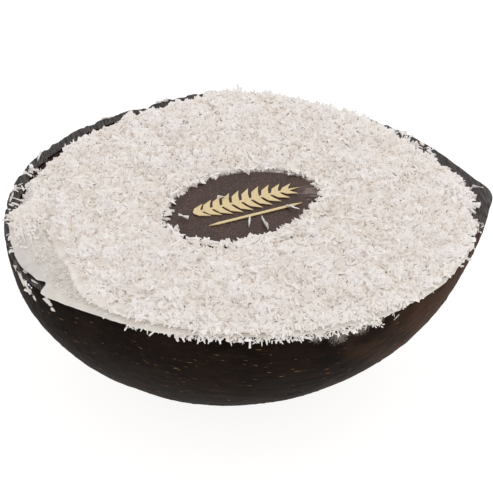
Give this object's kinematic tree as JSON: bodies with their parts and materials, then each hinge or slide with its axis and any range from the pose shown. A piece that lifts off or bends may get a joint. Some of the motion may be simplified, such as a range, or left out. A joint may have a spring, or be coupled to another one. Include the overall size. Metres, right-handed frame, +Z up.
{
  "type": "half coconut dessert with coconut cream filling",
  "caption": "Half coconut shell filled with set coconut cream, heaped with grated coconut, with an oval chocolate medallion printed in gold on top.",
  "frame": {"origin": "centre of the half shell's outline as seen from above, on the small flat that it stands on", "axes": "+X towards the nut's pointed end, +Z up out of the open half"},
  "size_m": [0.1314, 0.119, 0.0542],
  "materials": {
    "shell_brown": "dark brown woody nut shell, satin, with short tan fibres left on it and a greyer sawn rim",
    "cream_white": "set coconut cream, off-white, smooth and slightly translucent",
    "coconut_white": "dry grated coconut, off-white, translucent shreds",
    "chocolate": "dark chocolate, satin, finely speckled",
    "gold_print": "edible gold print, satin"
  },
  "bodies": {
    "root": {"coconut_shell": "shell_brown", "coconut_cream": "cream_white", "grated_coconut": "coconut_white", "chocolate_medallion": "chocolate", "gold_frond": "gold_print", "gold_rule": "gold_print", "shred_on_medallion_1": "coconut_white", "shred_on_medallion_2": "coconut_white", "shred_on_medallion_3": "coconut_white", "shred_on_medallion_4": "coconut_white", "shred_on_medallion_5": "coconut_white", "shred_on_rim_1": "coconut_white", "shred_on_rim_2": "coconut_white", "shred_on_rim_3": "coconut_white", "shred_on_rim_4": "coconut_white", "shred_on_rim_5": "coconut_white"}
  },
  "joints": []
}
